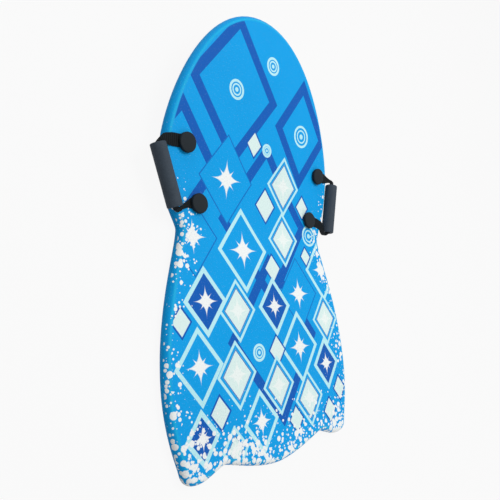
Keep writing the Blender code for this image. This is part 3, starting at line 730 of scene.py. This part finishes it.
# each handle: the foam tube's two ends, then the webbing from under the front cap into the tube, and from the
# tube to under the rear cap: inner edge across and along, outer edge across and along, height, thickness
handleShapes = {
    "left": {
        "grip": ((0.2660, 0.5986, 0.0040), (0.2307, 0.4874, 0.0110)),
        "front": [
            (0.1885, 0.5995, 0.1885, 0.6245, 0.0014, 0.0020),
            (0.2160, 0.6000, 0.2160, 0.6252, 0.0014, 0.0020),
            (0.2330, 0.5992, 0.2331, 0.6240, 0.0018, 0.0020),
            (0.2440, 0.5992, 0.2479, 0.6205, 0.0030, 0.0020),
            (0.2510, 0.6035, 0.2560, 0.6172, 0.0040, 0.0022),
            (0.2570, 0.6025, 0.2650, 0.6065, 0.0040, 0.0034),
            (0.2598, 0.6000, 0.2724, 0.5962, 0.0040, 0.0045),
            (0.2580, 0.5950, 0.2704, 0.5910, 0.0042, 0.0045),
        ],
        "rear": [
            (0.2260, 0.4940, 0.2384, 0.4900, 0.0106, 0.0045),
            (0.2242, 0.4884, 0.2366, 0.4846, 0.0110, 0.0045),
            (0.2188, 0.4895, 0.2310, 0.4798, 0.0102, 0.0040),
            (0.2112, 0.4950, 0.2225, 0.4788, 0.0080, 0.0036),
            (0.2000, 0.5020, 0.2080, 0.4875, 0.0042, 0.0030),
            (0.1905, 0.5092, 0.1950, 0.4925, 0.0020, 0.0022),
            (0.1825, 0.5148, 0.1850, 0.4910, 0.0014, 0.0020),
            (0.1580, 0.5145, 0.1590, 0.4905, 0.0014, 0.0020),
        ],
    },
    "right": {
        "grip": ((0.2655, 0.5991, 0.0010), (0.2457, 0.4790, 0.0020)),
        "front": [
            (0.1885, 0.5995, 0.1885, 0.6245, 0.0014, 0.0020),
            (0.2160, 0.5995, 0.2160, 0.6250, 0.0014, 0.0020),
            (0.2300, 0.6002, 0.2300, 0.6235, 0.0014, 0.0020),
            (0.2400, 0.6018, 0.2425, 0.6182, 0.0010, 0.0024),
            (0.2500, 0.6042, 0.2545, 0.6142, 0.0008, 0.0032),
            (0.2595, 0.6056, 0.2645, 0.6126, 0.0010, 0.0042),
            (0.2605, 0.6032, 0.2735, 0.6080, 0.0010, 0.0045),
            (0.2595, 0.5995, 0.2720, 0.5975, 0.0010, 0.0045),
            (0.2597, 0.5940, 0.2707, 0.5920, 0.0010, 0.0045),
        ],
        "rear": [
            (0.2400, 0.4850, 0.2520, 0.4830, 0.0020, 0.0045),
            (0.2392, 0.4790, 0.2512, 0.4770, 0.0020, 0.0045),
            (0.2330, 0.4775, 0.2400, 0.4712, 0.0016, 0.0040),
            (0.2305, 0.4850, 0.2220, 0.4716, 0.0010, 0.0034),
            (0.2310, 0.4960, 0.2165, 0.4775, 0.0008, 0.0028),
            (0.2240, 0.5048, 0.2130, 0.4850, 0.0010, 0.0024),
            (0.2060, 0.5100, 0.2000, 0.4880, 0.0014, 0.0020),
            (0.1850, 0.5145, 0.1840, 0.4900, 0.0014, 0.0020),
            (0.1580, 0.5140, 0.1590, 0.4895, 0.0014, 0.0020),
        ],
    },
}


# running length along a row of points
def runningLength(points):
    return np.concatenate([[0.0], np.cumsum(np.linalg.norm(np.diff(points, axis=0), axis=-1))])


# webbing stations walked at an even step and softened by a moving average, cap to cap through the tube
def webbingStations(shape):
    stations = np.array(shape["front"] + shape["rear"])
    along = runningLength((stations[:, 0:2] + stations[:, 2:4]) / 2)
    walk = np.linspace(0, along[-1], int(along[-1] / webbing["step"]))
    even = np.stack([np.interp(walk, along, column) for column in stations.T], -1)
    reach = webbing["soften"] // 2
    for _ in range(webbing["softenTimes"]):
        padded = np.concatenate([even[:1].repeat(reach, 0), even, even[-1:].repeat(reach, 0)])
        even = np.mean([padded[k:k + len(even)] for k in range(2 * reach + 1)], axis=0)
    return even


# flat band with rounded edges: |cos|^edgePower across and |sin|^facePower through, from station to station
def makeWebbing(sideName, side):
    stations = webbingStations(handleShapes[sideName])
    mirror = np.array([side, 1.0, 1.0])
    inner, outer = (onBoard(stations[:, k], stations[:, k + 1], stations[:, 4]) * mirror for k in (0, 2))
    middle, half = (inner + outer) / 2, (outer - inner) / 2
    up = np.cross(np.gradient(middle, axis=0), half)
    up /= np.linalg.norm(up, axis=-1, keepdims=True)
    angle = np.arange(webbing["around"]) * (2 * math.pi / webbing["around"])
    across = np.sign(np.cos(angle)) * np.abs(np.cos(angle)) ** webbing["edgePower"]
    through = np.sign(np.sin(angle)) * np.abs(np.sin(angle)) ** webbing["facePower"]
    points = (middle[:, None] + half[:, None] * across[None, :, None]
              + up[:, None] * (stations[:, 5] / 2)[:, None, None] * through[None, :, None])
    run = runningLength(middle)
    weave = np.stack(np.broadcast_arrays(run[:, None], across * webbing["width"] / 2, through), -1)
    strap = gridMesh(sideName + "_webbing", points, capEnds=True, flip=side < 0, attributes={"weave": weave})
    give(strap, materials["webbing"])
    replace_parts(strap, sideName + "_strap", sideName + "_front_strap_end", sideName + "_rear_strap_end")

    # a line beside the two caps, between the board and the swinging handle: its two ends are worked out here
    # and not used
    low = webbing["lift"] + webbing["thick"] / 2
    frontCap, rearCap = np.array(anchors["front"]), np.array(anchors["rear"])
    foldWay = (frontCap - rearCap) / np.linalg.norm(frontCap - rearCap)
    outward = np.array([foldWay[1], -foldWay[0]])
    foldMiddle = (frontCap + rearCap) / 2 + outward * webbing["foldOut"]
    reach = webbing["foldReach"]
    ends = [onBoard(*(foldMiddle + outward * step), low) * mirror for step in (-reach, reach)]
    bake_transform(strap)


grip = {
    "radius": 0.0147, "bore": 0.0074, "round": 0.0026, "boreBevel": 0.0006,
    "rows": 40, "roundSteps": 8, "steps": 64,
}


# foam tube: straight wall, ends rounded by a quarter circle, and a bevelled bore for the webbing
def makeGrip(sideName, side):
    mirror = np.array([side, 1.0, 1.0])
    front, rear = (Vector(onBoard(*end) * mirror) for end in handleShapes[sideName]["grip"])
    place = (front - rear).to_track_quat("Z", "Y").to_matrix().to_4x4()
    place.translation = (front + rear) / 2
    reach, radius, bore = (front - rear).length / 2, grip["radius"], grip["bore"]
    bend, bevel, steps = grip["round"], grip["boreBevel"], grip["roundSteps"]
    shaft = [(radius, height) for height in np.linspace(reach - bend, -reach + bend, grip["rows"])[1:-1]]
    profile = ([(bore, reach - bevel), (bore + bevel, reach)]
               + arcPoints((radius - bend, reach - bend), bend, 90, 0, steps) + shaft
               + arcPoints((radius - bend, -reach + bend), bend, 0, -90, steps)
               + [(bore + bevel, -reach), (bore, -reach + bevel)])
    tube = lathe(sideName + "_grip_foam", profile, place, grip["steps"], closeRows=True)
    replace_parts(give(tube, materials["grip"], sideName + "_grip_tube"), sideName + "_grip")


for sideName, side in sides.items():
    for endName, (across, along) in anchors.items():
        name, place = sideName + "_" + endName, deckPlace(across, along, side)
        makeCap(name, place)
        makeWasher(name, place)
        makeScrew(name, place)
    makeWebbing(sideName, side)
    makeGrip(sideName, side)
print("handles made")

# pale floor, white surroundings and three soft lamps
stageLook = {
    "floor": (0.42, 0.42, 0.43), "floorRough": 0.9, "floorReach": 14.0, "floorDrop": 0.0005,
    "whiteShare": 0.92,  # share of white in what the camera sees of the floor; the rest shows the shadow
    "world": 0.42, "backdrop": 0.95,  # light from the surroundings, and their brightness as seen
    # lamps: name, place, what it faces, width and height, power
    "lamps": [
        ("key", (0.35, 0.7, 2.4), (0, 0, 0), (1.3, 1.3), 31.0),
        ("fill", (0.9, -1.7, 1.5), (0, 0, 0.05), (1.4, 1.4), 9.0),
        ("back", (-0.8, 1.8, 0.9), (0, 0.2, 0.05), (1.2, 0.8), 6.0),
    ],
}
white = (1.0, 1.0, 1.0, 1.0)


# 1 for the rays that show the surroundings: straight to the camera, in gloss or through glass
def backdropRays(wire):
    path = wire.node("ShaderNodeLightPath", None, None, "Is Camera Ray")
    return path.most(path.other("Is Glossy Ray")).most(path.other("Is Transmission Ray"))


def makeFloor():
    mesh = bpy.data.meshes.new("floor")
    reach, low = stageLook["floorReach"], -stageLook["floorDrop"]
    corners = [(-reach, -reach, low), (reach, -reach, low), (reach, reach, low), (-reach, reach, low)]
    mesh.from_pydata(corners, [], [(0, 1, 2, 3)])
    floor = addObject("floor", mesh)
    mat, shader, wire = newMaterial("floor")
    plug(shader, Base_Color=stageLook["floor"], Roughness=stageLook["floorRough"])
    glow = wire.node("ShaderNodeEmission", None, {0: white})
    seen = backdropRays(wire) * stageLook["whiteShare"]
    mixed = wire.node("ShaderNodeMixShader", None, {0: seen, 1: Wire(wire.tree, shader.outputs[0]), 2: glow})
    wire.tree.links.new(mixed.socket, wire.tree.nodes["Material Output"].inputs[0])
    mesh.materials.append(mat)


def makeWorld():
    world = bpy.data.worlds.new("studio")
    bpy.context.scene.world = world
    world.use_nodes = True
    wire = Wire(world.node_tree)
    sky = world.node_tree.nodes["Background"]
    sky.inputs[0].default_value = white
    strength = stageLook["world"] + backdropRays(wire) * (stageLook["backdrop"] - stageLook["world"])
    world.node_tree.links.new(strength.socket, sky.inputs[1])


def areaLamp(name, place, target, size, power):
    lamp = bpy.data.lights.new(name, "AREA")
    lamp.shape, lamp.size, lamp.size_y, lamp.energy = "RECTANGLE", size[0], size[1], power
    obj = addObject(name, lamp)
    obj.location = place
    obj.rotation_euler = (Vector(target) - Vector(place)).to_track_quat("-Z", "Y").to_euler()


makeFloor()
makeWorld()
for lampValues in stageLook["lamps"]:
    areaLamp(*lampValues)

# the photograph's view, fitted to the sled's outline: rows of the camera's matrix
photoView = {
    "lens": 35.50, "sensor": 36.0, "near": 0.01, "far": 100.0,
    "rows": (
        (0.69039, -0.04959, -0.72174, -0.7638),
        (-0.09059, 0.98387, -0.15425, -0.1890),
        (0.71774, 0.17187, 0.67476, 0.7075),
        (0, 0, 0, 1),
    ),
}
camera = bpy.data.cameras.new("camera")
camera.lens, camera.sensor_width = photoView["lens"], photoView["sensor"]
camera.clip_start, camera.clip_end = photoView["near"], photoView["far"]
cameraObject = addObject("camera", camera)
cameraObject.matrix_world = Matrix(photoView["rows"])
bpy.context.scene.camera = cameraObject
bpy.context.scene.view_settings.view_transform = "Standard"
print("stage made")
